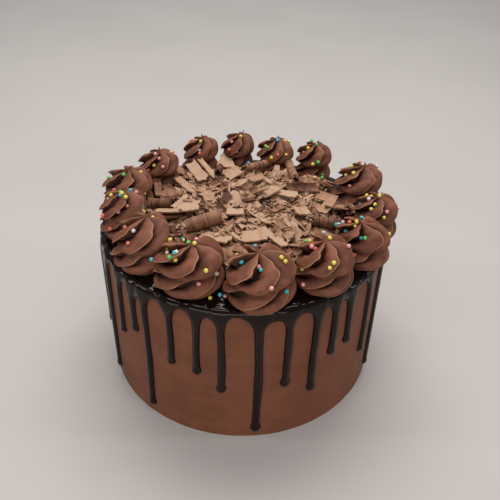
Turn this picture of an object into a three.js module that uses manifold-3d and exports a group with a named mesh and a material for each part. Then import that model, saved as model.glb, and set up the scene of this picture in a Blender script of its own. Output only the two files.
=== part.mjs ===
// Chocolate buttercream cake with a dark ganache drip, a ring of piped swirls with sugar balls
// and a heap of chocolate shavings. Millimetres, +Z up, origin at the middle of the cake's foot.
import * as THREE from 'three';
import { mergeVertices } from 'three/addons/utils/BufferGeometryUtils.js';
import Module from 'manifold-3d';

const wasm = await Module();
wasm.setup();

// Driving dimensions of the cake and its ganache
const COAT_RADIUS = 91.2;
const COAT_HEIGHT = 101.6;
const COAT_SHOULDER = 2.5;
const ROUND_STEPS = 48;
const GAP = 0.35;
const GANACHE_TOP = 103.6;
const GANACHE_SIDE = 1.7;
const GANACHE_BAND = 3.4;

// Drips: how far round the side each hangs, in degrees from +X, and its length below the rim
const SEEN_DRIPS = [
  [-171, 25], [-165, 68], [-156, 97], [-143.5, 51], [-134.5, 40], [-128, 97], [-117, 51],
  [-106.5, 53], [-97.5, 65], [-84, 99], [-73.5, 62], [-62.5, 72], [-54.5, 48], [-46.5, 46],
  [-33.5, 68], [-20.5, 97], [-11, 41],
];
const BACK_DRIPS = 17;
const BACK_DRIP_START = 1.5;
const BACK_DRIP_STEP = 10.3;
const BACK_DRIP_SHORT = 28;
const BACK_DRIP_LONG = 94;
const DRIP_HALF_WIDTH = 2.4;
const DRIP_DEPTH = 2.6;
const DRIP_FLARE = 6.4;
const DRIP_BULB = 1.25;

// Piped swirls: angle and distance of the foot's middle from the cake's axis, half width across
// the ring, share of that along the ring, height, turn of the flutes, and lean of the tip
const SWIRLS = [
  { angle: 170.8, away: 77.7, half: 17.4, slim: 0.88, tall: 30.0, turn: 10, lean: [2, 0] },
  { angle: 193.2, away: 77.4, half: 14.2, slim: 1.04, tall: 29.0, turn: 46, lean: [2.9, 4.6] },
  { angle: 220.3, away: 77.2, half: 17.4, slim: 0.93, tall: 30.0, turn: 30, lean: [3.8, 5.5] },
  { angle: 246.8, away: 75.5, half: 18.6, slim: 1.07, tall: 30.0, turn: -4, lean: [2.5, -4.2] },
  { angle: 276.3, away: 81.1, half: 19.7, slim: 0.97, tall: 31.0, turn: 48, lean: [-0.9, 0] },
  { angle: 304.0, away: 80.2, half: 17.3, slim: 0.98, tall: 30.0, turn: 10, lean: [-1.1, -1] },
  { angle: 328.4, away: 81.6, half: 17.2, slim: 0.89, tall: 30.0, turn: 48, lean: [-3.7, -6.2] },
  { angle: 349.4, away: 82.4, half: 15.2, slim: 0.94, tall: 29.5, turn: 5, lean: [1.2, -1.5] },
  { angle: 17.0, away: 79.1, half: 16.6, slim: 1.0, tall: 30.0, turn: 50, lean: [4.9, 0] },
  { angle: 50.5, away: 77.3, half: 13.6, slim: 0.99, tall: 30.0, turn: 25, lean: [1, -2.1] },
  { angle: 71.1, away: 67.8, half: 14.0, slim: 0.98, tall: 30.0, turn: 55, lean: [0.7, 0] },
  { angle: 95.0, away: 73.2, half: 12.8, slim: 0.95, tall: 30.0, turn: 12, lean: [3.4, 0] },
  { angle: 117.3, away: 72.8, half: 13.5, slim: 0.97, tall: 30.0, turn: 35, lean: [3.8, 0] },
  { angle: 145.8, away: 73.1, half: 14.5, slim: 0.98, tall: 30.0, turn: 0, lean: [2.8, 0] },
];
const LOBES = 6;
// How far the lips stray from even spacing, in degrees
const LIP_SPREAD = 7;
// Each lobe has a sharp lip, a deep groove close under it, and a face that climbs to the next lip
const LOBE_COLUMNS = [
  { along: 0, sunk: 0 }, { along: 0.16, sunk: 1 }, { along: 0.44, sunk: 0.6 }, { along: 0.75, sunk: 0.18 },
];
// Outline of a swirl from tip to foot: share of its half width and height, twist of the lips in
// degrees, and depth of the grooves as a share of the half width
const SWIRL_OUTLINE = [
  { out: 0.11, up: 0.94, twist: 3, groove: 0 },
  { out: 0.48, up: 0.9, twist: 6, groove: 0.2 },
  { out: 0.8, up: 0.8, twist: 15, groove: 0.31 },
  { out: 0.96, up: 0.6, twist: 38, groove: 0.31 },
  { out: 0.83, up: 0.42, twist: 84, groove: 0.16 },
  { out: 0.98, up: 0.3, twist: 112, groove: 0.22 },
  { out: 1.0, up: 0.16, twist: 146, groove: 0.18 },
  { out: 0.8, up: 0, twist: 184, groove: 0.05 },
];
const TIP_LEANS_ABOVE = 0.35;

// Sugar balls
const BALL_RADIUS = 1.25;
const BALL_LIFT = 0.35;
// Rows of the outline that carry a ball, and how many lobes apart the balls lie
const BALL_ROWS = [1, 3, 6];
const BALL_LOBE_STEP = 2.4;
// Balls that lie on the ganache between two swirls: angle and distance from the cake's axis
const GANACHE_BALLS = [[-101.8, 88.9], [-99.6, 83.7], [-97.7, 84.3]];

// Heap of chocolate shavings
const HEAP_REACH = 73;
const HEAP_TOP = 13;
const HEAP_EDGE = 5;
const HEAP_COLUMNS = 40;
const HEAP_RING_SHARES = [0.3, 0.58, 0.8, 0.95, 0.99];
const SWIRL_CLEARANCE = 1.2;
const GOLDEN_ANGLE = 2.39996;
const FLAKES = { count: 44, long: 16, wide: 10, thick: 1.2 };
const BARS = { count: 12, long: 20, wide: 2.6, thick: 1.8 };
const SHAVING_TILT = 0.6;

const RADIANS = Math.PI / 180;
const cake = new THREE.Group();

// Repeatable draws between 0 and 1
function draws(seed) {
  let state = seed;
  return () => {
    state = (state * 1664525 + 1013904223) % 4294967296;
    return state / 4294967296;
  };
}

function between(draw, low, high) {
  return low + (high - low) * draw();
}

function closedBody(geometry) {
  const plain = geometry.index ? geometry.toNonIndexed() : geometry.clone();
  plain.deleteAttribute('normal');
  plain.deleteAttribute('uv');
  const merged = mergeVertices(plain, 1e-4);
  const triangles = [];
  const index = merged.index.array;
  for (let i = 0; i < index.length; i += 3) {
    const [a, b, c] = [index[i], index[i + 1], index[i + 2]];
    if (a !== b && b !== c && c !== a) triangles.push(a, b, c);
  }
  return new wasm.Manifold(new wasm.Mesh({
    numProp: 3,
    vertProperties: Float32Array.from(merged.attributes.position.array),
    triVerts: Uint32Array.from(triangles),
  }));
}

// Joins bodies and keeps the largest result, without loose scraps and sealed hollows
function fused(bodies) {
  let whole = bodies[0];
  for (const body of bodies.slice(1)) whole = whole.add(body);
  const pieces = whole.decompose();
  pieces.sort((a, b) => b.volume() - a.volume());
  return pieces[0];
}

function geometryOf(body) {
  const mesh = body.getMesh();
  const geometry = new THREE.BufferGeometry();
  const positions = new Float32Array(mesh.numVert * 3);
  for (let i = 0; i < mesh.numVert; i += 1) {
    for (let k = 0; k < 3; k += 1) positions[3 * i + k] = mesh.vertProperties[i * mesh.numProp + k];
  }
  geometry.setAttribute('position', new THREE.BufferAttribute(positions, 3));
  geometry.setIndex(Array.from(mesh.triVerts));
  geometry.computeVertexNormals();
  return geometry;
}

function addPiece(name, geometry, look) {
  const piece = new THREE.Mesh(geometry, new THREE.MeshStandardMaterial(look));
  piece.name = name;
  cake.add(piece);
}

// Lathe about +Z from points given as [distance, height]
function turned(profile, steps) {
  const points = profile.map(([out, up]) => new THREE.Vector2(out, up));
  return new THREE.LatheGeometry(points, steps).rotateX(Math.PI / 2);
}

// Skin over rings of points that all have the same count, closed by a fan at each end
function ringSkin(rings, firstPole, lastPole) {
  const count = rings[0].length;
  const positions = [firstPole, ...rings.flat(), lastPole].flat();
  const last = rings.length * count + 1;
  const triangles = [];
  const at = (ring, column) => 1 + ring * count + (column % count);
  for (let j = 0; j < count; j += 1) {
    triangles.push(0, at(0, j), at(0, j + 1));
    triangles.push(last, at(rings.length - 1, j + 1), at(rings.length - 1, j));
    for (let i = 0; i + 1 < rings.length; i += 1) {
      triangles.push(at(i, j), at(i + 1, j), at(i + 1, j + 1));
      triangles.push(at(i, j), at(i + 1, j + 1), at(i, j + 1));
    }
  }
  const geometry = new THREE.BufferGeometry();
  geometry.setAttribute('position', new THREE.Float32BufferAttribute(positions, 3));
  geometry.setIndex(triangles);
  return geometry;
}

// The uncut cake under its coat of chocolate buttercream
function coat() {
  const inner = COAT_RADIUS - COAT_SHOULDER;
  const rise = COAT_HEIGHT - COAT_SHOULDER;
  return turned([
    [0, 0], [COAT_RADIUS - 1, 0], [COAT_RADIUS, 1], [COAT_RADIUS, rise],
    [inner + COAT_SHOULDER * Math.SQRT1_2, rise + COAT_SHOULDER * Math.SQRT1_2],
    [inner, COAT_HEIGHT], [0, COAT_HEIGHT],
  ], ROUND_STEPS);
}

// Ganache that floods the top and rolls over the rim
function ganacheCap() {
  const inside = COAT_RADIUS + GAP;
  const bend = (COAT_SHOULDER + GAP) * Math.SQRT1_2;
  const outside = COAT_RADIUS + GANACHE_SIDE;
  const lower = GANACHE_TOP - GANACHE_BAND;
  return turned([
    [0, COAT_HEIGHT + GAP], [COAT_RADIUS - COAT_SHOULDER, COAT_HEIGHT + GAP],
    [COAT_RADIUS - COAT_SHOULDER + bend, COAT_HEIGHT - COAT_SHOULDER + bend],
    [inside, COAT_HEIGHT - COAT_SHOULDER], [inside, lower], [outside, lower + 0.6],
    [outside - 0.3, GANACHE_TOP - 1.6], [outside - 2.6, GANACHE_TOP], [0, GANACHE_TOP],
  ], ROUND_STEPS);
}

// One drip: flared where it leaves the rim, slim below, with a round bulb at its end
function drip(angle, length, stem) {
  const back = COAT_RADIUS + GAP;
  const top = GANACHE_TOP - 1.4;
  const end = GANACHE_TOP - length;
  const flareEnd = Math.min(11, length * 0.4);
  const bulb = stem * DRIP_BULB;
  const stations = [
    { z: top - 1.5, half: DRIP_FLARE, deep: 1.5 }, { z: top - flareEnd, half: stem, deep: 2.1 },
    { z: end + bulb * 2.8, half: stem, deep: 2.2 }, { z: end + bulb * 1.1, half: bulb, deep: DRIP_DEPTH },
  ];
  const rings = stations.map(({ z, half, deep }) => [
    [-half, 0], [-half * 0.55, deep], [half * 0.55, deep], [half, 0],
  ].map(([aside, out]) => [back + out, aside, z]));
  const geometry = ringSkin(rings, [back + 0.5, 0, top + 0.3], [back + 0.5, 0, end]);
  return geometry.rotateZ(angle * RADIANS);
}

function ball(x, y, z) {
  return new THREE.IcosahedronGeometry(BALL_RADIUS, 0).translate(x, y, z);
}

function ganache() {
  const draw = draws(41);
  const bodies = [closedBody(ganacheCap())];
  for (const [angle, length] of SEEN_DRIPS) {
    bodies.push(closedBody(drip(angle, length, DRIP_HALF_WIDTH * between(draw, 0.9, 1.1))));
  }
  for (let i = 0; i < BACK_DRIPS; i += 1) {
    const angle = BACK_DRIP_START + i * BACK_DRIP_STEP + between(draw, -2, 2);
    const length = between(draw, BACK_DRIP_SHORT, BACK_DRIP_LONG);
    bodies.push(closedBody(drip(angle, length, DRIP_HALF_WIDTH * between(draw, 0.9, 1.15))));
  }
  for (const [angle, away] of GANACHE_BALLS) {
    const x = away * Math.cos(angle * RADIANS);
    const y = away * Math.sin(angle * RADIANS);
    bodies.push(closedBody(ball(x, y, GANACHE_TOP + BALL_RADIUS * 0.7)));
  }
  return geometryOf(fused(bodies));
}

// How unround a swirl is in one direction
function unevenness(azimuth, turn) {
  return 1 + 0.035 * Math.sin(2 * azimuth + turn) + 0.025 * Math.sin(3 * azimuth + 2 * turn);
}

// One point of a swirl about its own axis, sunk into the groove along the outline's normal
function swirlPoint(swirl, row, azimuth, sunk) {
  const before = SWIRL_OUTLINE[Math.max(row - 1, 0)];
  const here = SWIRL_OUTLINE[row];
  const after = SWIRL_OUTLINE[Math.min(row + 1, SWIRL_OUTLINE.length - 1)];
  const along = new THREE.Vector2(
    (after.out - before.out) * swirl.half,
    (after.up - before.up) * swirl.tall,
  ).normalize();
  const isFoot = row === SWIRL_OUTLINE.length - 1;
  const normal = isFoot ? new THREE.Vector2(1, 0) : new THREE.Vector2(-along.y, along.x);
  const depth = here.groove * sunk * swirl.half;
  const out = here.out * swirl.half * unevenness(azimuth, swirl.turn) - normal.x * depth;
  const up = here.up * swirl.tall - normal.y * depth;
  return [out * Math.cos(azimuth), out * Math.sin(azimuth), up];
}

// Moves a point from the swirl's own axis to its place on the cake
function onCake(swirl, [radial, aside, up]) {
  const angle = swirl.angle * RADIANS;
  const share = Math.max(0, up / swirl.tall - TIP_LEANS_ABOVE) / (1 - TIP_LEANS_ABOVE);
  const out = swirl.away + radial;
  const along = aside * swirl.slim;
  return [
    out * Math.cos(angle) - along * Math.sin(angle) + swirl.lean[0] * share ** 1.5,
    out * Math.sin(angle) + along * Math.cos(angle) + swirl.lean[1] * share ** 1.5,
    GANACHE_TOP + GAP + up,
  ];
}

// Direction of a place across one lobe, in radians, with the lips unevenly spaced
function lobeAzimuth(swirl, lips, row, lobe, along) {
  const stray = lips[lobe] * (1 - along) + lips[(lobe + 1) % LOBES] * along;
  const even = swirl.turn - SWIRL_OUTLINE[row].twist + (lobe + along) * (360 / LOBES);
  return (even + stray * LIP_SPREAD) * RADIANS;
}

function swirlBody(swirl, lips) {
  const rings = SWIRL_OUTLINE.map((_, row) => {
    const ring = [];
    for (let lobe = 0; lobe < LOBES; lobe += 1) {
      for (const { along, sunk } of LOBE_COLUMNS) {
        const azimuth = lobeAzimuth(swirl, lips, row, lobe, along);
        ring.push(onCake(swirl, swirlPoint(swirl, row, azimuth, sunk)));
      }
    }
    return ring;
  });
  return ringSkin(rings, onCake(swirl, [0, 0, swirl.tall]), onCake(swirl, [0, 0, 0]));
}

// Sugar balls lie on the faces between two lips, most of them on the upper turn
function ballsOn(swirl, lips, draw) {
  return BALL_ROWS.map((row, i) => {
    const lobe = Math.floor((i * BALL_LOBE_STEP + draw()) % LOBES);
    const { along, sunk } = LOBE_COLUMNS[2];
    const azimuth = lobeAzimuth(swirl, lips, row, lobe, along);
    const [x, y, z] = onCake(swirl, swirlPoint(swirl, row, azimuth, sunk));
    return closedBody(ball(x, y, z + BALL_RADIUS * BALL_LIFT));
  });
}

// How far the heap reaches in one direction before it comes to a swirl
function heapReach(angle) {
  const clear = (reach) => SWIRLS.every((swirl) => {
    const turn = swirl.angle * RADIANS;
    const x = reach * Math.cos(angle) - swirl.away * Math.cos(turn);
    const y = reach * Math.sin(angle) - swirl.away * Math.sin(turn);
    return Math.hypot(x, y) > swirl.half * 1.07 + SWIRL_CLEARANCE;
  });
  let reach = HEAP_REACH;
  while (!clear(reach)) reach -= 0.5;
  return reach;
}

// Height of the heap's core above the ganache
function heapHeight(x, y) {
  const share = Math.min(1, Math.hypot(x, y) / heapReach(Math.atan2(y, x)));
  const uneven = 1.3 * Math.sin(x * 0.21) * Math.sin(y * 0.24 + 1);
  return HEAP_EDGE + (HEAP_TOP - HEAP_EDGE + uneven) * (1 - share ** 3);
}

function heapCore() {
  const rings = HEAP_RING_SHARES.map((share) => {
    const ring = [];
    for (let j = 0; j < HEAP_COLUMNS; j += 1) {
      const a = (j / HEAP_COLUMNS) * 2 * Math.PI;
      const reach = heapReach(a) * share;
      const x = reach * Math.cos(a);
      const y = reach * Math.sin(a);
      ring.push([x, y, heapHeight(x, y)]);
    }
    return ring;
  });
  const foot = rings.at(-1).map(([x, y]) => [x, y, 0]);
  return ringSkin([...rings, foot], [0, 0, heapHeight(0, 0)], [0, 0, 0]);
}

// A shaving: a thin plate with uneven corners
function shaving(draw, long, wide, thick) {
  const plate = new THREE.BoxGeometry(long, wide, thick).toNonIndexed();
  const corners = [0, 1, 2, 3].map(() => [between(draw, 0.7, 1.15), between(draw, 0.6, 1.15)]);
  const place = plate.attributes.position;
  for (let i = 0; i < place.count; i += 1) {
    const corner = corners[(place.getX(i) > 0 ? 1 : 0) + (place.getY(i) > 0 ? 2 : 0)];
    place.setXY(i, place.getX(i) * corner[0], place.getY(i) * corner[1]);
  }
  return plate;
}

// Lays shavings over the heap, turned and tilted, clear of the swirls
function scattered(draw, kind) {
  const bodies = [];
  for (let i = 0; i < kind.count; i += 1) {
    const angle = i * GOLDEN_ANGLE + between(draw, -0.3, 0.3);
    const long = kind.long * between(draw, 0.55, 1);
    const wide = kind.wide * between(draw, 0.6, 1);
    const reach = heapReach(angle) - 0.5 * long - SWIRL_CLEARANCE;
    const away = reach * Math.sqrt((i + 0.5) / kind.count);
    const [x, y] = [away * Math.cos(angle), away * Math.sin(angle)];
    const plate = shaving(draw, long, wide, kind.thick)
      .rotateX(between(draw, -SHAVING_TILT, SHAVING_TILT))
      .rotateY(between(draw, -SHAVING_TILT, SHAVING_TILT))
      .rotateZ(draw() * Math.PI)
      .translate(x, y, heapHeight(x, y) + between(draw, 0.2, 1.8));
    bodies.push(closedBody(plate));
  }
  return bodies;
}

function heap() {
  const draw = draws(97);
  const bodies = [closedBody(heapCore()), ...scattered(draw, FLAKES), ...scattered(draw, BARS)];
  return geometryOf(fused(bodies)).translate(0, 0, GANACHE_TOP + GAP);
}

addPiece('cake_coat', coat(), { color: 0x704a38, roughness: 0.75, metalness: 0 });
addPiece('ganache', ganache(), { color: 0x231917, roughness: 0.2, metalness: 0 });
SWIRLS.forEach((swirl, i) => {
  const name = `swirl_${String(i + 1).padStart(2, '0')}`;
  const draw = draws(12 + 7 * i);
  const lips = Array.from({ length: LOBES }, () => between(draw, -1, 1));
  const body = fused([closedBody(swirlBody(swirl, lips)), ...ballsOn(swirl, lips, draw)]);
  addPiece(name, geometryOf(body), { color: 0x7a5140, roughness: 0.6, metalness: 0 });
});
addPiece('shavings', heap(), { color: 0xa88468, roughness: 0.85, metalness: 0 });

export default cake;
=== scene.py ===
import math

import bpy
import numpy as np
from mathutils import Matrix, Vector
from mathutils.bvhtree import BVHTree


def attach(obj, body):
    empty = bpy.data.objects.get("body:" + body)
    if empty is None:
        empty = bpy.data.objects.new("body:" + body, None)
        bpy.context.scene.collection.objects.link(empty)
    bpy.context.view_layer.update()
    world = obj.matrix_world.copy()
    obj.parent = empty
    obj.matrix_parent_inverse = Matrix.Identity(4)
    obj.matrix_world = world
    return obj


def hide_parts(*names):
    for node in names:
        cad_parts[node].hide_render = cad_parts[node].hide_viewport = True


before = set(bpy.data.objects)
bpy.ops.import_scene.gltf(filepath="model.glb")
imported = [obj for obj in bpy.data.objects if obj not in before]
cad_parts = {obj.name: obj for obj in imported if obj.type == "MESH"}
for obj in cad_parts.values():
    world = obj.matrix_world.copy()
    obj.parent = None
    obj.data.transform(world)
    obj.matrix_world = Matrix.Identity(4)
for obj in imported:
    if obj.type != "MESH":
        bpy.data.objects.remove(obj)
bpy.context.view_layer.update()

# Chocolate cake with a ganache drip, piped swirls, sugar balls and a heap of chocolate shavings.
# Sizes and places are in millimetres, +Z up, and meshes are made in metres.
MM = 0.001
COAT_RADIUS = 91.2
COAT_HEIGHT = 101.6
COAT_SHOULDER = 2.5
COAT_COLUMNS = 320
COAT_ROW = 2.4
GAP = 0.35
GANACHE_TOP = 103.6
GANACHE_SIDE = 1.7

# Ganache: grid step, how far its back lies inside the coat, roundness of its edge, arches and necks
GANACHE_STEP = 0.68
GANACHE_BURIED = 0.5
EDGE_ROUND = 2.2
ARCH_BLEND = 8.0
NECK_BLEND = 1.6
BAND_EDGE = 99.9
# How far the ganache sinks where it rolls over the rim, and how wide that is inside and below it
ROLL_DROP = 1.1
ROLL_INSIDE = 5.0
ROLL_BELOW = 9.0
# Height of the arches between the drips as distance below the band's usual edge: angle and drop
WINDOW_DROPS = [(-158, 1), (-140, 0), (-122, 0.5), (-112, 1.5), (-102, 1.0), (-91, 2.0), (-79, 5.0),
                (-68, 2.6), (-58.5, 0.5), (-50, 0.8), (-40, 2), (-27, 1.5)]

# Drips: angle round the side in degrees from +X, length below the rim, and half width of the flare
SEEN_DRIPS = [
    (-171, 25, 6.0), (-165, 68, 6.0), (-156, 97, 6.4), (-143.5, 51, 6.2), (-134.5, 40, 6.0), (-128, 97, 6.8),
    (-117, 51, 7.4), (-106.5, 53, 6.4), (-97.5, 65, 6.8), (-84, 99, 11.5), (-73.5, 62, 8.8), (-62.5, 72, 6.8),
    (-54.5, 48, 5.6), (-46.5, 46, 5.6), (-33.5, 68, 6.4), (-20.5, 97, 6.4), (-11, 41, 6.0),
]
BACK_DRIPS = 17
BACK_DRIP_START = 1.5
BACK_DRIP_STEP = 10.3
BACK_DRIP_LENGTHS = (28, 94)
DRIP_HALF_WIDTH = 2.4
DRIP_DEPTH = 2.6
DRIP_STEM_DEPTH = 2.2
DRIP_FLARE = 6.4
DRIP_BULB = 1.25

# Piped swirls: angle and distance of the foot's middle from the axis, half width across the ring,
# share of that along the ring, height, turn of the flutes, lean of the tip, and curl of the spike
SWIRLS = [
    (170.8, 77.7, 17.4, 0.88, 30.0, 10, (2, 0), (1.2, 0.4)),
    (193.2, 77.4, 14.2, 1.04, 29.0, 46, (2.9, 4.6), (-1.0, 0.5)),
    (220.3, 77.2, 17.4, 0.93, 30.0, 30, (3.8, 5.5), (1.6, 0.6)),
    (246.8, 75.5, 18.6, 1.07, 30.0, -4, (2.5, -4.2), (2.4, 0.8)),
    (276.3, 81.1, 19.7, 0.97, 31.0, 48, (-0.9, 0), (-1.4, 0.8)),
    (304.0, 80.2, 17.3, 0.98, 30.0, 10, (-1.1, -1), (0.8, 1.2)),
    (328.4, 81.6, 17.2, 0.89, 30.0, 48, (-3.7, -6.2), (-1.6, 0.4)),
    (349.4, 82.4, 15.2, 0.94, 29.5, 5, (1.2, -1.5), (1.2, 0.8)),
    (17.0, 79.1, 16.6, 1.0, 30.0, 50, (4.9, 0), (-1.2, 0.4)),
    (50.5, 77.3, 13.6, 0.99, 30.0, 25, (1, -2.1), (1.8, 0)),
    (71.1, 67.8, 14.0, 0.98, 30.0, 55, (0.7, 0), (1.2, 0.4)),
    (95.0, 73.2, 12.8, 0.95, 30.0, 12, (3.4, 0), (2.0, 0)),
    (117.3, 72.8, 13.5, 0.97, 30.0, 35, (3.8, 0), (-1.8, 0)),
    (145.8, 73.1, 14.5, 0.98, 30.0, 0, (2.8, 0), (-1.4, 0.6)),
]
LOBES = 6
LOBE_COLUMNS = 26
SWIRL_RINGS = 72
UNDERSIDE_RINGS = 4
# Section across one lobe, from lip to lip: share of the way round, and share of the groove's depth
LOBE_SECTION = [(0, -0.04), (-0.055, 0.27), (-0.075, 0.62), (-0.02, 0.97), (0.08, 1.08), (0.22, 0.82),
                (0.4, 0.48), (0.6, 0.19), (0.82, 0.01), (1, -0.04)]
# Outline from tip to foot: share of half width and height, twist of the lips in degrees, groove
SWIRL_OUTLINE = [
    (0.0, 1.03, 0, 0.0), (0.035, 0.985, 1, 0.0), (0.06, 0.95, 2, 0.01), (0.11, 0.925, 3, 0.06),
    (0.25, 0.912, 4, 0.17), (0.48, 0.885, 6, 0.27), (0.8, 0.795, 14, 0.35), (0.965, 0.62, 34, 0.34),
    (0.95, 0.5, 58, 0.24), (0.79, 0.43, 84, 0.15), (0.88, 0.36, 100, 0.2), (0.99, 0.27, 118, 0.24),
    (1.0, 0.15, 148, 0.19), (0.8, -0.025, 184, 0.05),
]
TIP_LEANS_ABOVE = 0.35
SPIKE_STARTS_AT = 0.88
LIP_SPREAD = 7.0
LIP_WANDER = 7.0
LIP_RIPPLE = 2.4
LOBE_UNEVEN = 0.3

# Sugar balls
BALL_RADIUS = 1.25
BALL_SUNK = 0.35
HIDDEN_BALLS = 7
SEEN_BALLS = {
    "yellow": [(184, 242), (195, 243), (168, 251), (175, 258.5), (206, 271), (210, 298.6), (281, 258), (285, 262),
               (329, 239), (330, 268), (303, 269.5), (334, 263), (357, 223), (355, 225), (380, 196), (364, 196),
               (376, 205), (372, 210), (384, 218), (354, 174), (313, 164), (315, 178), (286, 155), (272, 158),
               (266, 146), (241, 137), (201, 142), (155, 166), (123, 194), (112, 195), (143, 212), (126, 198)],
    "pink": [(195.5, 240), (199, 284), (225, 297), (260, 267), (271, 288), (312, 245), (304, 285), (350, 187),
             (387, 212), (231, 141), (156, 155), (160, 159), (163, 167), (136, 193), (119, 212), (348, 247)],
    "coral": [(111, 229), (129, 244), (355, 255), (301, 153), (278, 155), (230, 150), (149, 171), (128, 207),
              (104, 216), (200, 154)],
    "blue": [(182, 239), (175, 254), (242, 262), (262, 270.5), (286, 292), (220, 296), (347, 232), (362, 238),
             (361, 219), (384, 191), (130, 191), (120, 195), (248, 164), (278, 141)],
    "green": [(170, 258), (366, 239), (342, 175), (317, 145), (318, 162), (322, 175), (322, 179), (123, 174),
              (268, 148)],
    "white": [(133, 230), (324, 233), (237, 152), (200, 151), (194, 138), (177, 253), (216, 274), (369, 198)],
}

# Heap of shavings
HEAP_REACH = 73
HEAP_TOP = 13
HEAP_EDGE = 5
SWIRL_CLEARANCE = 1.2
HEAP_COLUMNS = 240
HEAP_RINGS = 46
FLAKES = 640
CHIPS = 950
CRUMBS = 900
ROLLS = 12
DARK_TONES = (0.0, 0.3)
MIDDLE_TONES = (0.3, 0.6)
PALE_TONES = (0.62, 1.0)
RIB_HEIGHT = 0.04
ROLL_RIB_HEIGHT = 0.14
# Shavings that stand out: both ends in pixels of the picture with their height above the heap's
# core, width, total curl across in radians, roll about their length in degrees, tone, and how
# much they widen towards the second end
NOTED_SHAVINGS = [
    ((190, 163), 12, (204, 180), 2, 8.0, 0.3, 12, 0.82, 0),
    ((200, 160), 12, (216, 178), 2, 4.6, 0.4, -10, 0.85, 0),
    ((226, 152), 8, (226, 168), 1.5, 9.0, 0.5, -6, 1.6, 1.1),
    ((244, 169), 5, (273, 162), 7, 15.0, 7.0, 0, 0.32, 0),
    ((289, 165), 8, (296, 180), 2, 18.0, 7.5, 0, 0.3, 0),
    ((288, 189), 2, (317, 189), 3, 9.0, 2.0, 25, 0.16, 0),
    ((276, 192), 2, (297, 196), 3, 6.0, 0.5, 8, 0.95, 0),
    ((226, 212), 3, (244, 212), 3, 6.5, 0.3, 4, 0.95, 0),
    ((295, 212), 4, (309, 212), 4, 11.0, 0.4, -8, 0.75, 0),
    ((318, 196), 4, (336, 201), 5, 8.0, 1.0, 14, 0.5, 0),
    ((324, 206), 4, (345, 209), 4, 8.0, 1.2, -12, 0.45, 0),
    ((321, 213), 2, (332, 201), 6, 7.0, 0.7, 0, 0.6, 0),
    ((187, 227), 3, (221, 216), 5, 26.0, 7.0, 0, 0.3, 0),
    ((241, 238), 1, (267, 235), 2, 10.0, 0.4, 6, 0.75, 0),
    ((203, 236), 1, (230, 241), 2, 10.0, 0.4, -6, 0.8, 0),
    ((262, 229), 2, (286, 247), 3, 5.0, 0.4, 0, 0.95, 0),
    ((156, 211), 4, (180, 211), 5, 3.8, 0.4, 8, 0.9, 0),
    ((178, 208), 4, (199, 206), 5, 10.0, 0.5, 6, 0.82, 0),
    ((173, 208), 5, (187, 196), 6, 3.6, 0.3, 0, 0.9, 0),
    ((161, 217), 2, (179, 216), 2, 8.0, 0.8, 0, 0.05, 0),
    ((150, 204), 3, (173, 204), 3, 20.0, 7.0, 0, 0.2, 0),
    ((157, 177), 7, (159, 196), 1, 5.0, 0.6, 0, 0.3, 0),
    ((163, 193), 3, (181, 196), 2, 8.0, 0.6, 14, 0.35, 0),
    ((177, 178), 5, (194, 192), 2, 6.0, 0.4, 0, 0.75, 0),
    ((217.5, 173.5), 5, (220, 167.5), 7, 16.0, 7.0, 0, 0.1, 0),
    ((250, 181), 3, (264, 177), 3, 7.0, 0.8, 0, 0.65, 0),
    ((227, 178), 3, (239, 170), 5, 8.0, 0.7, 14, 0.8, 0),
    ((262, 196), 3, (278, 188), 4, 7.0, 0.5, 0, 0.75, 0),
    ((312, 221), 2, (338, 224), 4, 18.0, 6.6, 0, 0.15, 0),
    ((300, 180), 2, (318, 186), 3, 8.0, 0.8, 0, 0.35, 0),
    ((166, 185), 3, (176, 199), 2, 7.0, 0.7, 10, 0.2, 0),
]

NOTED_LIFT = 1.0

# Camera of the picture: image size and focal length in pixels, place, and its three directions
IMAGE_SIZE = 500
FOCAL_PIXELS = 600
SENSOR_WIDTH = 36
EYE = (-0.9, -336.1, 309.3)
SIGHT = (0.01303837, 0.82479254, -0.56528511)
RIGHTWARD = (0.99977123, -0.00116691, 0.02135725)
UPWARD = (-0.01695566, 0.56543426, 0.82461907)

# Colours as display values from 0 to 255
COAT_TONES = ((121, 73, 51), (104, 61, 42))
SWIRL_TONES = ((126, 78, 59), (101, 61, 46))
# Painted shade for the swirls' grooves
GROOVE_SHADE_TONE = (32, 16, 11)
# Painted highlight along the swirls' lips
LIP_HIGHLIGHT_TONE = (182, 134, 104)
GANACHE_TONES = ((20, 10, 8), (13, 7, 6))
SHAVING_TONES = ((76, 40, 26), (154, 109, 82), (177, 143, 116))
# Crumb colours of the heap's core, darkened as painted shade for the gaps between the shavings
CRUMB_AND_SHADE_TONES = ((52, 29, 20), (122, 84, 62))
BALL_TONES = {"yellow": (232, 214, 96), "pink": (236, 158, 160), "coral": (222, 110, 92), "blue": (72, 178, 190),
              "green": (96, 190, 98), "white": (226, 214, 208)}
FLOOR_TONE = (179, 173, 169)


def draws(seed):
    """Repeatable draws between 0 and 1."""
    state = seed
    while True:
        state = (state * 1664525 + 1013904223) % 4294967296
        yield state / 4294967296


def between(draw, low, high):
    return low + (high - low) * next(draw)


def spline(points, places):
    """Smooth curve through rows of numbers, read at places counted in rows."""
    rows = np.asarray(points, float)
    padded = np.vstack([2 * rows[0] - rows[1], rows, 2 * rows[-1] - rows[-2]])
    places = np.clip(np.asarray(places, float), 0, len(rows) - 1)
    first = np.minimum(places.astype(int), len(rows) - 2)
    t = (places - first)[:, None]
    a, b, c, d = (padded[first + k] for k in range(4))
    return 0.5 * (2 * b + (c - a) * t + (2 * a - 5 * b + 4 * c - d) * t ** 2 + (3 * b - a - 3 * c + d) * t ** 3)


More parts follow.
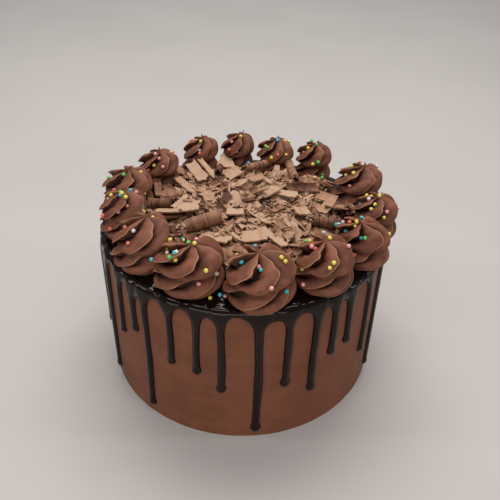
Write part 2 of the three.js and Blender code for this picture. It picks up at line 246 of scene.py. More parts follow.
def plane_noise(x, y, cell, seed):
    """Smooth seeded noise over a plane, from -1 to 1."""
    grid = np.random.default_rng(seed).uniform(-1, 1, (61, 61))
    u, v = np.asarray(x) / cell, np.asarray(y) / cell
    i, j = np.floor(u).astype(int), np.floor(v).astype(int)
    s, t = u - i, v - j
    s, t = s * s * (3 - 2 * s), t * t * (3 - 2 * t)
    near = grid[i % 61, j % 61] * (1 - s) + grid[(i + 1) % 61, j % 61] * s
    far = grid[i % 61, (j + 1) % 61] * (1 - s) + grid[(i + 1) % 61, (j + 1) % 61] * s
    return near * (1 - t) + far * t


def eased(share):
    share = np.clip(share, 0, 1)
    return share * share * (3 - 2 * share)


def smooth_max(a, b, blend):
    share = np.clip(0.5 + 0.5 * (a - b) / blend, 0, 1)
    return b * (1 - share) + a * share + blend * share * (1 - share)


# Meshes

def piece_from(name, points, faces, smooth=True):
    """A mesh object from points in millimetres and faces as lists of point numbers."""
    mesh = bpy.data.meshes.new(name)
    mesh.from_pydata((np.asarray(points) * MM).tolist(), [], [list(map(int, face)) for face in faces])
    mesh.validate()
    if smooth:
        mesh.shade_smooth()
    piece = bpy.data.objects.new(name, mesh)
    bpy.context.scene.collection.objects.link(piece)
    return piece


def mesh_points(piece):
    places = np.empty(len(piece.data.vertices) * 3)
    piece.data.vertices.foreach_get("co", places)
    return places.reshape(-1, 3)


def move_points(piece, places):
    piece.data.vertices.foreach_set("co", np.asarray(places, float).ravel())
    piece.data.update()


def point_values(piece, name, values):
    attribute = piece.data.attributes.new(name, "FLOAT", "POINT")
    attribute.data.foreach_set("value", np.asarray(values, np.float32))


def start_edit(piece):
    bpy.ops.object.select_all(action="DESELECT")
    piece.select_set(True)
    bpy.context.view_layer.objects.active = piece
    bpy.ops.object.mode_set(mode="EDIT")


def end_edit():
    bpy.ops.object.mode_set(mode="OBJECT")


def hand_over(piece, finish, slot, *nodes):
    """Gives a finished piece its material and its body, and hides the solids that it stands for."""
    piece.data.materials.clear()
    piece.data.materials.append(finish)
    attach(piece, "root")
    if nodes:
        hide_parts(*nodes)


# Materials

class Wire:
    """A shader socket on which sums are written as Python sums."""

    def __init__(self, finish, socket):
        self.finish = finish
        self.socket = socket

    def combined(self, operation, *values):
        return self.finish.add("ShaderNodeMath", {"operation": operation}, dict(enumerate(values)))

    def __add__(self, other):
        return self.combined("ADD", self, other)

    def __sub__(self, other):
        return self.combined("SUBTRACT", self, other)

    def __rsub__(self, other):
        return self.combined("SUBTRACT", other, self)

    def __mul__(self, other):
        return self.combined("MULTIPLY", self, other)

    def __pow__(self, other):
        return self.combined("POWER", self, other)

    __radd__ = __add__
    __rmul__ = __mul__


def paint(tone):
    """Display values from 0 to 255 as a linear colour."""
    shares = [value / 255 for value in tone]
    return tuple(s / 12.92 if s < 0.04045 else ((s + 0.055) / 1.055) ** 2.4 for s in shares) + (1.0,)


class Finish:
    """One material, its nodes, and the one way in which nodes are added to it."""

    def __init__(self, name):
        self.material = bpy.data.materials.new(name)
        self.material.use_nodes = True
        self.tree = self.material.node_tree
        self.tree.nodes.clear()
        self.place = self.add("ShaderNodeTexCoord", output="Object")

    def add(self, kind, settings=None, values=None, output=0):
        node = self.tree.nodes.new(kind)
        for name, setting in (settings or {}).items():
            setattr(node, name, setting)
        for name, value in (values or {}).items():
            if isinstance(value, Wire):
                self.tree.links.new(value.socket, node.inputs[name])
            else:
                node.inputs[name].default_value = value
        return Wire(self, node.outputs[output]) if len(node.outputs) else None

    def noise(self, size, detail=3.0, rough=0.55, stretch=(1, 1, 1)):
        """Noise whose blotches are about size millimetres wide."""
        where = self.add("ShaderNodeMapping", {"vector_type": "POINT"}, {"Vector": self.place, "Scale": stretch})
        return self.add("ShaderNodeTexNoise", {}, {"Vector": where, "Scale": 1 / (size * MM), "Detail": detail,
                                                   "Roughness": rough})

    def cells(self, size, feature="F1"):
        return self.add("ShaderNodeTexVoronoi", {"feature": feature}, {"Vector": self.place, "Scale": 1 / (size * MM)},
                        "Distance")

    def band(self, value, low, high, first=0.0, last=1.0):
        return self.add("ShaderNodeMapRange", {"interpolation_type": "SMOOTHSTEP"},
                        {"Value": value, "From Min": low, "From Max": high, "To Min": first, "To Max": last})

    def blend(self, factor, first, second):
        return self.add("ShaderNodeMix", {"data_type": "RGBA"}, {0: factor, 6: first, 7: second}, 2)

    def attribute(self, name):
        return self.add("ShaderNodeAttribute", {"attribute_name": name}, {}, "Fac")

    def finished(self, colour, roughness, height=None, height_mm=0.1, **fixed):
        """Closes the material with its surface shader; height is raised by height_mm where it is 1."""
        values = {"Base Color": colour, "Roughness": roughness}
        if height is not None:
            values["Normal"] = self.add("ShaderNodeBump", {}, {"Height": height, "Distance": height_mm * MM,
                                                               "Strength": 1.0})
        values.update({name.replace("_", " "): value for name, value in fixed.items()})
        shader = self.add("ShaderNodeBsdfPrincipled", {}, values)
        self.add("ShaderNodeOutputMaterial", {}, {"Surface": shader})
        return self.material


def coat_finish():
    finish = Finish("scraped_buttercream")
    blotch = finish.noise(26, 4)
    swept = finish.noise(5, 4, 0.6, (0.09, 0.09, 1))
    grain = finish.noise(1.1, 2)
    pit = finish.band(finish.cells(5.5), 0.06, 0.16, 0.0, 1.0)
    tone = finish.band(blotch * 0.6 + swept * 0.4, 0.35, 0.65)
    colour = finish.blend(tone, paint(COAT_TONES[1]), paint(COAT_TONES[0]))
    # Painted shade: the small pits' hollows are darkened towards the darker coat tone
    colour = finish.blend(finish.band(pit, 0, 1, 0.3, 0.0), colour, paint(COAT_TONES[1]))
    height = swept * 0.55 + grain * 0.25 + pit * 0.2
    return finish.finished(colour, finish.band(swept, 0.3, 0.7, 0.55, 0.68), height, 0.35, Specular_IOR_Level=0.22)


def swirl_finish():
    finish = Finish("piped_buttercream")
    blotch = finish.noise(9, 3)
    grain = finish.noise(0.9, 2)
    lip_highlight = finish.attribute("lip_highlight")
    colour = finish.blend(finish.band(blotch, 0.35, 0.65), paint(SWIRL_TONES[1]), paint(SWIRL_TONES[0]))
    # Painted shade: the swirls' grooves are darkened, most where they sink deepest
    colour = finish.blend(finish.attribute("groove") * 0.95, colour, paint(GROOVE_SHADE_TONE))
    # Painted highlight: a light line along each lip's edge
    colour = finish.blend(lip_highlight * 0.72, colour, paint(LIP_HIGHLIGHT_TONE))
    height = blotch * 0.6 + grain * 0.4
    return finish.finished(colour, finish.band(blotch, 0.3, 0.7, 0.5, 0.62), height, 0.16, Specular_IOR_Level=0.14)


def ganache_finish():
    finish = Finish("glossy_ganache")
    wave = finish.noise(14, 2, 0.4)
    colour = finish.blend(finish.band(wave, 0.3, 0.7), paint(GANACHE_TONES[1]), paint(GANACHE_TONES[0]))
    return finish.finished(colour, finish.band(finish.noise(5, 2), 0.3, 0.7, 0.05, 0.12), wave, 0.5,
                           Specular_IOR_Level=0.25, Specular_Tint=(1.0, 0.88, 0.82, 1.0))


def shaving_finish():
    finish = Finish("shaved_chocolate")
    tone = finish.attribute("tone")
    bloom = finish.noise(3.2, 4, 0.65)
    knife = finish.noise(0.7, 2)
    streaks = finish.attribute("streak")
    shade = tone + (bloom - 0.5) * 0.6 + streaks * 0.14
    lower = finish.blend(finish.band(shade, 0.0, 0.5), paint(SHAVING_TONES[0]), paint(SHAVING_TONES[1]))
    colour = finish.blend(finish.band(shade, 0.4, 0.95), lower, paint(SHAVING_TONES[2]))
    height = bloom * 0.5 + knife * 0.3 + streaks * 0.2
    return finish.finished(colour, finish.band(bloom, 0.3, 0.7, 0.6, 0.8), height, 0.3, Specular_IOR_Level=0.3)


def core_finish():
    finish = Finish("chocolate_crumb_and_shade")
    crumb = finish.noise(2.4, 5, 0.7)
    # Partly the crumbs' own colour, partly painted shade for the gaps between the shavings
    colour = finish.blend(finish.band(crumb, 0.4, 0.7), paint(CRUMB_AND_SHADE_TONES[0]), paint(CRUMB_AND_SHADE_TONES[1]))
    return finish.finished(colour, finish.band(crumb, 0.3, 0.7, 0.7, 0.85), crumb, 0.8, Specular_IOR_Level=0.25)


def ball_finish(colour_name):
    finish = Finish("sugar_ball_" + colour_name)
    speck = finish.noise(0.8, 2)
    tone = BALL_TONES[colour_name]
    colour = finish.blend(finish.band(speck, 0.35, 0.7), paint([0.9 * value for value in tone]), paint(tone))
    return finish.finished(colour, finish.band(speck, 0.3, 0.7, 0.3, 0.42), speck, 0.05, Specular_IOR_Level=0.5)


def floor_finish():
    finish = Finish("pale_floor")
    cloud = finish.noise(180, 2, 0.4)
    colour = finish.blend(finish.band(cloud, 0.3, 0.7), paint([value - 3 for value in FLOOR_TONE]), paint(FLOOR_TONE))
    return finish.finished(colour, finish.band(cloud, 0.3, 0.7, 0.82, 0.88))


# Coat of buttercream

def make_coat():
    """A drum with scraped, very slightly uneven sides and a rounded top rim."""
    bpy.ops.mesh.primitive_cylinder_add(vertices=COAT_COLUMNS, radius=COAT_RADIUS * MM, depth=COAT_HEIGHT * MM,
                                        location=(0, 0, COAT_HEIGHT * MM / 2))
    coat = bpy.context.active_object
    coat.name = "buttercream_coat"
    bpy.ops.object.transform_apply(location=True, rotation=True, scale=True)
    start_edit(coat)
    for row in range(1, int((COAT_HEIGHT - 4) / COAT_ROW)):
        bpy.ops.mesh.select_all(action="SELECT")
        bpy.ops.mesh.bisect(plane_co=(0, 0, (row * COAT_ROW + 1) * MM), plane_no=(0, 0, 1))
    bpy.ops.mesh.select_all(action="DESELECT")
    bpy.ops.mesh.select_mode(type="EDGE")
    end_edit()
    places = mesh_points(coat)
    for edge in coat.data.edges:
        heights = [places[corner][2] for corner in edge.vertices]
        edge.select = min(heights) > (COAT_HEIGHT - 0.01) * MM
    start_edit(coat)
    bpy.ops.mesh.bevel(offset=COAT_SHOULDER * MM, segments=5, profile=0.5, affect="EDGES")
    end_edit()
    places = mesh_points(coat) / MM
    angle = np.arctan2(places[:, 1], places[:, 0])
    arc, z = angle * COAT_RADIUS, places[:, 2]
    side = np.clip(np.hypot(places[:, 0], places[:, 1]) / COAT_RADIUS * 4 - 3, 0, 1)
    wave = 0.12 * np.sin(3 * angle + 0.8) * np.sin(z / 31 + 0.4) + 0.1 * np.sin(7 * angle + 2) * np.sin(z / 17)
    foot = 0.35 * np.exp(-z / 2.2) * (0.5 + 0.5 * plane_noise(arc, z * 0, 6.5, 5))
    grow = 1 + (wave - 0.1 + foot) * side / COAT_RADIUS
    places[:, 0] *= grow
    places[:, 1] *= grow
    move_points(coat, places * MM)
    coat.data.shade_smooth()
    coat.data.set_sharp_from_angle(angle=math.radians(50))
    return coat


# Ganache

def drip_list():
    """Angle, length, half widths of stem and flare, of the seen drips and the seeded ones behind."""
    draw = draws(41)
    drips = [(angle, length, DRIP_HALF_WIDTH * between(draw, 0.9, 1.1), flare) for angle, length, flare in SEEN_DRIPS]
    for i in range(BACK_DRIPS):
        angle = BACK_DRIP_START + i * BACK_DRIP_STEP + between(draw, -2, 2)
        length = between(draw, *BACK_DRIP_LENGTHS)
        half = DRIP_HALF_WIDTH * between(draw, 0.9, 1.15)
        drips.append((angle, length, half, DRIP_FLARE * (0.75 + 0.5 * ((i * 7) % 5) / 5)))
    return drips


def inside_ganache(angle, path):
    """Distance inside the ganache's edge on the side, and how much of a drip's depth is there."""
    arc = angle * COAT_RADIUS
    edge = BAND_EDGE + 0.8 * plane_noise(arc, 0 * arc, 11, 3)
    for window, drop in WINDOW_DROPS:
        off = (angle - math.radians(window) + math.pi) % (2 * math.pi) - math.pi
        edge = edge - drop * np.exp(-(off * COAT_RADIUS / 7) ** 2)
    inside = path - edge
    deep = np.zeros_like(path)
    for turn, length, stem, flare in drip_list():
        end = GANACHE_TOP - length
        aside = ((angle - math.radians(turn) + math.pi) % (2 * math.pi) - math.pi) * COAT_RADIUS
        aside = aside - 0.35 * np.sin(path / 13 + turn)
        bulb = stem * DRIP_BULB
        reach = min(16, length * 0.45)
        rise = np.clip((path - (GANACHE_TOP - 2.5 - reach)) / reach, 0, 1)
        half = stem * (1 + 0.07 * np.sin(path / 7 + 2 * turn)) + (flare - stem) * rise ** 1.8
        column = np.minimum(half - np.abs(aside), path - (end + bulb))
        drop = bulb - np.hypot(aside, (path - end - bulb) * 0.9)
        whole = smooth_max(column, drop, NECK_BLEND)
        inside = smooth_max(inside, whole, ARCH_BLEND * np.clip((path - 60) / 30, 0.02, 1))
        deep = np.maximum(deep, np.clip(whole / stem, 0, 1) * (DRIP_STEM_DEPTH - GANACHE_SIDE)
                          + np.clip(drop / bulb, 0, 1) * (DRIP_DEPTH - DRIP_STEM_DEPTH))
    return inside, deep


def cake_outline(path):
    """Point and outward normal (distance, height) on the coat's outline, path counted from the foot."""
    rise = COAT_HEIGHT - COAT_SHOULDER
    bend = np.clip((path - rise) / COAT_SHOULDER, 0, math.pi / 2)
    inward = np.maximum(path - rise - COAT_SHOULDER * math.pi / 2, 0)
    across = COAT_RADIUS - COAT_SHOULDER + COAT_SHOULDER * np.cos(bend) - inward
    up = np.minimum(path, rise) + COAT_SHOULDER * np.sin(bend)
    return across, up, np.cos(bend), np.sin(bend)


def make_ganache():
    """A glossy skin: a flooded top, a rolled rim with arches below it, and round drips."""
    rim = COAT_HEIGHT - COAT_SHOULDER + COAT_SHOULDER * math.pi / 2
    columns = int(2 * math.pi * COAT_RADIUS / GANACHE_STEP)
    side_rows = int((rim - 2) / GANACHE_STEP)
    inner = rim + (COAT_RADIUS - COAT_SHOULDER) * np.array([0.01, 0.022, 0.036, 0.054, 0.08, 0.12, 0.18, 0.26, 0.38, 0.55, 0.75, 0.93])
    path = np.concatenate([rim - GANACHE_STEP * np.arange(side_rows)[::-1], inner])
    rows = len(path)
    angles = np.arange(columns) / columns * 2 * math.pi
    angle, path = np.meshgrid(angles, path)
    inside, deep = inside_ganache(angle, path)
    step = GANACHE_STEP
    slope_round = (np.roll(inside, -1, 1) - np.roll(inside, 1, 1)) / (2 * step)
    slope_up = np.gradient(inside[:side_rows], step, axis=0)
    slope = np.maximum(slope_round[:side_rows] ** 2 + slope_up ** 2, 0.05)
    pull = np.clip(-inside[:side_rows], 0, 1.5 * step)
    angle = angle.copy()
    path = path.copy()
    angle[:side_rows] += pull * slope_round[:side_rows] / slope / COAT_RADIUS
    path[:side_rows] += pull * slope_up / slope
    depth = np.clip(inside, 0, EDGE_ROUND) / EDGE_ROUND
    arc = angle * COAT_RADIUS
    bent = path + 1.6 * np.sin(arc / 7.3) + 1.1 * np.sin(arc / 3.1 + 1)
    swung = arc * 0.45 + 1.8 * np.sin(path / 2.7) + 1.2 * np.sin(path / 1.9 + arc / 11)
    waves = 0.4 * plane_noise(arc + 2 * np.sin(path / 3), bent, 9, 8) + 0.5 * plane_noise(swung, bent, 5.2, 9)
    near_rim = np.exp(-((path - rim - 2) / 8) ** 2)
    full = GANACHE_SIDE + deep + (GANACHE_TOP - COAT_HEIGHT - GANACHE_SIDE) * np.clip((path - 96) / 7, 0, 1)
    roll = eased((rim + ROLL_INSIDE - path) / ROLL_INSIDE) * eased((path - rim + ROLL_BELOW) / ROLL_BELOW)
    thick = (full + near_rim * (1.15 * waves - 0.05) - ROLL_DROP * roll) * np.sqrt(1 - (1 - depth) ** 2)
    thick = thick - 0.12 * (depth <= 0)
    kept = inside > 0
    cells = kept | np.roll(kept, -1, 1)
    cells = cells[:-1] | cells[1:]
    across, up, out, lift = cake_outline(path)

    def surface(thickness):
        radius = across + out * thickness
        return np.stack([radius * np.cos(angle), radius * np.sin(angle), up + lift * thickness], -1).reshape(-1, 3)

    points = np.vstack([surface(thick), surface(np.full_like(thick, -GANACHE_BURIED)),
                        [[0, 0, GANACHE_TOP], [0, 0, COAT_HEIGHT - GANACHE_BURIED]]])
    below = rows * columns
    i, j = np.nonzero(cells)
    nxt = (j + 1) % columns
    quads = np.stack([i * columns + j, i * columns + nxt, (i + 1) * columns + nxt, (i + 1) * columns + j], 1)
    starts = quads.ravel()
    ends = np.roll(quads, -1, 1).ravel()
    known = set((starts * below + ends).tolist())
    last = (rows - 1) * columns
    edges = [(a, b) for a, b in zip(starts.tolist(), ends.tolist()) if b * below + a not in known and a < last]
    faces = quads.tolist() + (quads[:, ::-1] + below).tolist()
    faces += [(b, a, a + below, b + below) for a, b in edges]
    for column in range(columns):
        a, b = last + column, last + (column + 1) % columns
        faces += [(a, b, 2 * below), (b + below, a + below, 2 * below + 1)]
    used = np.unique(np.concatenate([np.ravel(face) for face in faces]))
    renumber = np.zeros(len(points), int)
    renumber[used] = np.arange(len(used))
    return piece_from("ganache_drip", points[used], [[renumber[k] for k in face] for face in faces])


# Swirls

def swirl_tables():
    """Rows of the outline with its normal, and the section across a lobe."""
    places = np.linspace(0, len(SWIRL_OUTLINE) - 1, 400)
    fine = spline(SWIRL_OUTLINE, places)
    steps = np.hypot(np.diff(fine[:, 0]), np.diff(fine[:, 1]))
    length = np.concatenate([[0], np.cumsum(steps)])
    count = SWIRL_RINGS - UNDERSIDE_RINGS
    share = np.linspace(0, length[-1], count + 1)
    rows = np.stack([np.interp(share, length, fine[:, k]) for k in range(4)], 1)
    section = spline(LOBE_SECTION, np.linspace(0, len(LOBE_SECTION) - 1, LOBE_COLUMNS + 1)[:-1])
    return rows, section


def make_swirl(name, swirl, seed, rows, section):
    """One piped swirl of buttercream: two turns of deep flutes that end in sharp lips and a thin spike."""
    turn_at, away, half_width, slim, tall, turn, lean, curl = swirl
    columns = LOBES * LOBE_COLUMNS
    bpy.ops.mesh.primitive_uv_sphere_add(segments=columns, ring_count=SWIRL_RINGS, radius=1)
    piece = bpy.context.active_object
    piece.name = name
    ball = mesh_points(piece)
    ring = np.rint(np.arccos(np.clip(ball[:, 2], -1, 1)) / math.pi * SWIRL_RINGS).astype(int)
    column = np.rint(np.arctan2(ball[:, 1], ball[:, 0]) / (2 * math.pi) * columns).astype(int) % columns
    foot = len(rows) - 1
    row = np.minimum(ring, foot)
    under = np.clip((ring - foot) / UNDERSIDE_RINGS, 0, 1)
    lobe, place = column // LOBE_COLUMNS, column % LOBE_COLUMNS
    along, sunk = section[place, 0], section[place, 1]
    out, up, twist, groove = (rows[row, k] for k in range(4))
    draw = draws(seed * 7 + 5)
    shift = np.array([between(draw, -1, 1) for _ in range(LOBES + 1)])
    shift[LOBES] = shift[0]
    bolder = np.array([between(draw, 1 - LOBE_UNEVEN, 1 + LOBE_UNEVEN * 0.6) for _ in range(LOBES)])
    drift = [between(draw, 0, 6.28) for _ in range(LOBES + 1)]
    drift[LOBES] = drift[0]
    drift = np.array(drift)
    level = row / foot
    sway = [shift[k] * LIP_WANDER * np.sin(3.4 * level * math.pi + drift[k])
            + LIP_RIPPLE * np.sin(11 * level * math.pi + 3 * drift[k]) for k in (lobe, lobe + 1)]
    wander = (sway[0] * (1 - along) + sway[1] * along) * np.clip(level * 4, 0, 1)
    stray = (shift[lobe] * (1 - along) + shift[lobe + 1] * along) * LIP_SPREAD
    azimuth = np.radians(turn - twist + (lobe + along) * (360 / LOBES) + stray + wander)
    tangent = np.gradient(rows[:, :2] * [half_width, tall], axis=0)
    normal = np.stack([-tangent[:, 1], tangent[:, 0]], 1)
    normal /= np.linalg.norm(normal, axis=1)[:, None]
    normal[-1] = (1, 0)
    uneven = 1 + 0.035 * np.sin(2 * azimuth + turn) + 0.025 * np.sin(3 * azimuth + 2 * turn)
    depth = groove * sunk * half_width * bolder[lobe]
    radial = out * half_width * uneven - normal[row, 0] * depth
    height = up * tall - normal[row, 1] * depth
    radial = radial * (1 - under)
    side = radial * np.sin(azimuth) * slim
    radial = radial * np.cos(azimuth)
    spike = np.clip((height / tall - SPIKE_STARTS_AT) / (1 - SPIKE_STARTS_AT), 0, 1) ** 1.6
    share = np.clip(height / tall - TIP_LEANS_ABOVE, 0, None) / (1 - TIP_LEANS_ABOVE)
    angle = math.radians(turn_at)
    distance = away + radial
    x = distance * math.cos(angle) - side * math.sin(angle) + lean[0] * share ** 1.5 + curl[0] * spike
    y = distance * math.sin(angle) + side * math.cos(angle) + lean[1] * share ** 1.5 + curl[1] * spike
    move_points(piece, np.stack([x, y, GANACHE_TOP + GAP + height], 1) * MM)
    piece.data.shade_smooth()
    piece.data.set_sharp_from_angle(angle=math.radians(62))
    from_lip = np.minimum(np.abs(along), np.abs(1 - along))
    # Mask of the painted highlight along each lip's edge
    point_values(piece, "lip_highlight", np.exp(-(from_lip / 0.04) ** 2) * (sunk < 0.3) * np.clip(groove * 10, 0, 1))
    # Mask of the painted shade in the grooves
    point_values(piece, "groove", np.clip(sunk, 0, 1) ** 1.7 * np.clip(groove * 5, 0, 1))
    return piece


# Sugar balls

def sight_line(pixel):
    """Direction from the camera through a pixel of the picture."""
    aside = (pixel[0] - IMAGE_SIZE / 2) / FOCAL_PIXELS
    above = (IMAGE_SIZE / 2 - pixel[1]) / FOCAL_PIXELS
    return (Vector(SIGHT) + aside * Vector(RIGHTWARD) + above * Vector(UPWARD)).normalized()


def search_tree(pieces):
    """What rays and nearest points are looked up in, in millimetres."""
    points, faces = [], []
    for piece in pieces:
        start = len(points)
        points.extend((mesh_points(piece) / MM).tolist())
        faces.extend([start + corner for corner in face.vertices] for face in piece.data.polygons)
    return BVHTree.FromPolygons(points, faces)


def hidden_places(tree):
    """Seeded places for balls on the sides of the swirls that the picture doesn't show."""
    draw = draws(2024)
    eye = Vector(EYE)
    found = []
    for turn_at, away, half_width, slim, tall, turn, lean, curl in SWIRLS:
        angle = math.radians(turn_at)
        middle = Vector((away * math.cos(angle), away * math.sin(angle), GANACHE_TOP + tall * 0.45))
        wanted = len(found) + HIDDEN_BALLS
        for _ in range(60):
            if len(found) >= wanted:
                break
            round_about = between(draw, 0, 2 * math.pi)
            steep = between(draw, 0.05, 1.2)
            heading = Vector((math.cos(round_about) * math.cos(steep), math.sin(round_about) * math.cos(steep),
                              math.sin(steep)))
            aim = middle + Vector((between(draw, -6, 6), between(draw, -6, 6), 0))
            hit, normal, _, _ = tree.ray_cast(aim + heading * 45, -heading, 60)
            if hit is None or normal.z < -0.1 or hit.z < GANACHE_TOP + 3:
                continue
            sight = hit - eye
            first, _, _, _ = tree.ray_cast(eye, sight.normalized())
            if (first - eye).length < sight.length - 1.5:
                found.append((hit, normal))
    return found


def make_balls(tree):
    """Sugar balls of each colour: those seen in the picture, and more on the far sides."""
    eye = Vector(EYE)
    places = {}
    for colour, pixels in SEEN_BALLS.items():
        hits = [tree.ray_cast(eye, sight_line(pixel)) for pixel in pixels]
        places[colour] = [(hit[0], hit[1]) for hit in hits if hit[0] is not None]
    colours = ["yellow", "pink", "coral", "blue", "green", "white", "yellow"]
    for i, place in enumerate(hidden_places(tree)):
        places[colours[i % len(colours)]].append(place)
    bpy.ops.mesh.primitive_ico_sphere_add(subdivisions=2, radius=1)
    pattern = bpy.context.active_object
    unit = mesh_points(pattern)
    unit /= np.linalg.norm(unit, axis=1)[:, None]
    corners = [list(face.vertices) for face in pattern.data.polygons]
    bpy.data.objects.remove(pattern, do_unlink=True)
    draw = draws(77)
    pieces = {}
    for colour, spots in places.items():
        points, faces = [], []
        for spot, normal in spots:
            radius = BALL_RADIUS * between(draw, 0.9, 1.08)
            middle = spot + normal * radius * (1 - BALL_SUNK)
            faces.extend([len(points) * len(unit) + k for k in face] for face in corners)
            points.append(unit * radius + np.array(middle))
        pieces[colour] = piece_from("sugar_balls_" + colour, np.vstack(points), faces)
    return pieces


# Heap of shavings

def heap_reach(angle):
    """How far the heap reaches in each direction before it comes to a swirl."""
    angle = np.atleast_1d(np.asarray(angle, float))
    reach = np.full(angle.shape, float(HEAP_REACH))
    for turn_at, away, half_width, *_ in SWIRLS:
        clear = half_width * 1.07 + SWIRL_CLEARANCE
        off = angle - math.radians(turn_at)
        aside = away * np.sin(off)
        blocked = (np.abs(aside) < clear) & (np.cos(off) > 0)
        limit = away * np.cos(off) - np.sqrt(np.maximum(clear ** 2 - aside ** 2, 0))
        reach = np.where(blocked, np.minimum(reach, limit), reach)
    return reach


def heap_height(x, y):
    """Height of the heap's core above the ganache."""
    share = np.minimum(1, np.hypot(x, y) / heap_reach(np.arctan2(y, x)))
    uneven = 1.3 * np.sin(x * 0.21) * np.sin(y * 0.24 + 1)
    return HEAP_EDGE + (HEAP_TOP - HEAP_EDGE + uneven) * (1 - share ** 3)


def make_core():
    """The heap's core, with relief as fine as the crumbs between the shavings."""
    angles = np.arange(HEAP_COLUMNS) / HEAP_COLUMNS * 2 * math.pi
    reach = heap_reach(angles)
    rings = []
    for share in list(np.linspace(0.02, 1, HEAP_RINGS) ** 0.8) + [1.015, 1.02]:
        x, y = reach * share * np.cos(angles), reach * share * np.sin(angles)
        relief = 0.9 * plane_noise(x, y, 2.6, 21) + 0.5 * plane_noise(x, y, 1.2, 22)
        z = heap_height(x * 0.999 / max(share, 1), y * 0.999 / max(share, 1)) - 1.2 + relief
        if share > 1:
            z = z * (0.45 if share < 1.018 else 0) - (0 if share < 1.018 else 0.2)
        rings.append(np.stack([x, y, GANACHE_TOP + z], 1))
    count = len(rings)
    top = [0, 0, GANACHE_TOP + HEAP_TOP - 1.2]
    points = np.vstack(rings + [[top], [[0, 0, GANACHE_TOP - 0.2]]])
    faces = []
    for j in range(HEAP_COLUMNS):
        k = (j + 1) % HEAP_COLUMNS
        faces.append((count * HEAP_COLUMNS, j, k))
        faces.append((count * HEAP_COLUMNS + 1, (count - 1) * HEAP_COLUMNS + k, (count - 1) * HEAP_COLUMNS + j))
        for i in range(count - 1):
            faces.append((i * HEAP_COLUMNS + j, (i + 1) * HEAP_COLUMNS + j, (i + 1) * HEAP_COLUMNS + k, i * HEAP_COLUMNS + k))
    return piece_from("shavings_core", points, faces)


class Heap:
    """Gathers many thin closed shavings into one mesh."""

    def __init__(self):
        self.points, self.faces, self.tones, self.streaks = [], [], [], []
        self.count = 0

    def sheet(self, draw, long, wide, thick, curl, bow, steps, ragged, widen=0):
        """A thin closed sheet along X, curled about X, with uneven ends and a knife's fine ribs."""
        nu, nv = steps
        u = np.linspace(-0.5, 0.5, nu + 1)[:, None] * np.ones((1, nv + 1))
        v = np.ones((nu + 1, 1)) * np.linspace(-0.5, 0.5, nv + 1)[None, :]
        ends = [[between(draw, -ragged, ragged) * 0.5 for _ in range(nv + 1)] for _ in range(2)]
        sides = [[between(draw, -ragged, ragged) * 0.5 for _ in range(nu + 1)] for _ in range(2)]
        taper = between(draw, -ragged, ragged) * 1.2 + widen
        grow_u = np.where(u > 0, np.array(ends[0])[None, :], np.array(ends[1])[None, :]) * (2 * np.abs(u)) ** 3
        grow_v = np.where(v > 0, np.array(sides[0])[:, None], np.array(sides[1])[:, None])
        x = long * (u + grow_u * np.sign(u))
        turn = v * (1 + grow_v * (curl < 3) + taper * u * (curl < 3)) * curl
        radius = wide / max(curl, 0.05)
        if curl > 5:
            radius = radius * (1.15 - 0.42 * (v + 0.5))
        ribs = np.array([between(draw, -1, 1) for _ in range(nu + 1)])[:, None] * np.ones((1, nv + 1))
        layers = []
        for side in (0.5, -0.5):
            spread = radius + side * thick + (RIB_HEIGHT if curl <= 5 else ROLL_RIB_HEIGHT) * ribs
            y = spread * np.sin(turn)
            z = radius - spread * np.cos(turn) if curl <= 5 else -spread * np.cos(turn)
            layers.append(np.stack([x, y, z + bow * (u * 2) ** 2], -1).reshape(-1, 3))
        index = np.arange((nu + 1) * (nv + 1)).reshape(nu + 1, nv + 1)
        under = index + index.size
        quads = np.stack([index[:-1, :-1], index[:-1, 1:], index[1:, 1:], index[1:, :-1]], -1).reshape(-1, 4)
        quads_under = np.stack([under[:-1, :-1], under[1:, :-1], under[1:, 1:], under[:-1, 1:]], -1).reshape(-1, 4)
        loop = np.concatenate([index[:-1, 0], index[-1, :-1], index[:0:-1, -1], index[0, :0:-1]])
        ahead = np.roll(loop, -1)
        walls = np.stack([loop, ahead, ahead + index.size, loop + index.size], 1)
        return np.vstack(layers), np.vstack([quads, quads_under, walls]), np.concatenate([ribs.ravel()] * 2)

    def lay(self, sheet, place, frame_axes, tone):
        """Puts a sheet at its place, its own axes turned to the rows of frame_axes."""
        points, faces, ribs = sheet
        self.points.append(points @ np.asarray(frame_axes) + np.asarray(place))
        self.faces.append(faces + self.count)
        self.tones.append(np.full(len(points), tone))
        self.streaks.append(ribs)
        self.count += len(points)

    def piece(self, name, smooth=True):
        piece = piece_from(name, np.vstack(self.points), np.vstack(self.faces).tolist(), smooth)
        if smooth:
            piece.data.set_sharp_from_angle(angle=math.radians(40))
        point_values(piece, "tone", np.concatenate(self.tones))
        point_values(piece, "streak", np.concatenate(self.streaks))
        return piece


def lying_axes(heading, tilt, roll):
    """Rows: a shaving's length, width and upward directions."""
    along = np.array([math.cos(heading) * math.cos(tilt), math.sin(heading) * math.cos(tilt), math.sin(tilt)])
    level = np.array([-math.sin(heading), math.cos(heading), 0])
    upward = np.cross(along, level)
    across = level * math.cos(roll) + upward * math.sin(roll)
    return np.array([along, across, np.cross(along, across)])


def heap_spot(draw, spread, margin):
    """A seeded place on the heap and its height, denser towards the rim when spread is small."""
    angle = between(draw, 0, 2 * math.pi)
    reach = float(heap_reach(angle)[0]) - margin
    away = reach * next(draw) ** spread
    x, y = away * math.cos(angle), away * math.sin(angle)
    return x, y, float(heap_height(np.array([x]), np.array([y]))[0]), away / reach


def noted_places():
    """Both ends of each noted shaving, and its row of values."""
    return [(on_heap(row[0], row[1] + NOTED_LIFT), on_heap(row[2], row[3] + NOTED_LIFT), row) for row in NOTED_SHAVINGS]


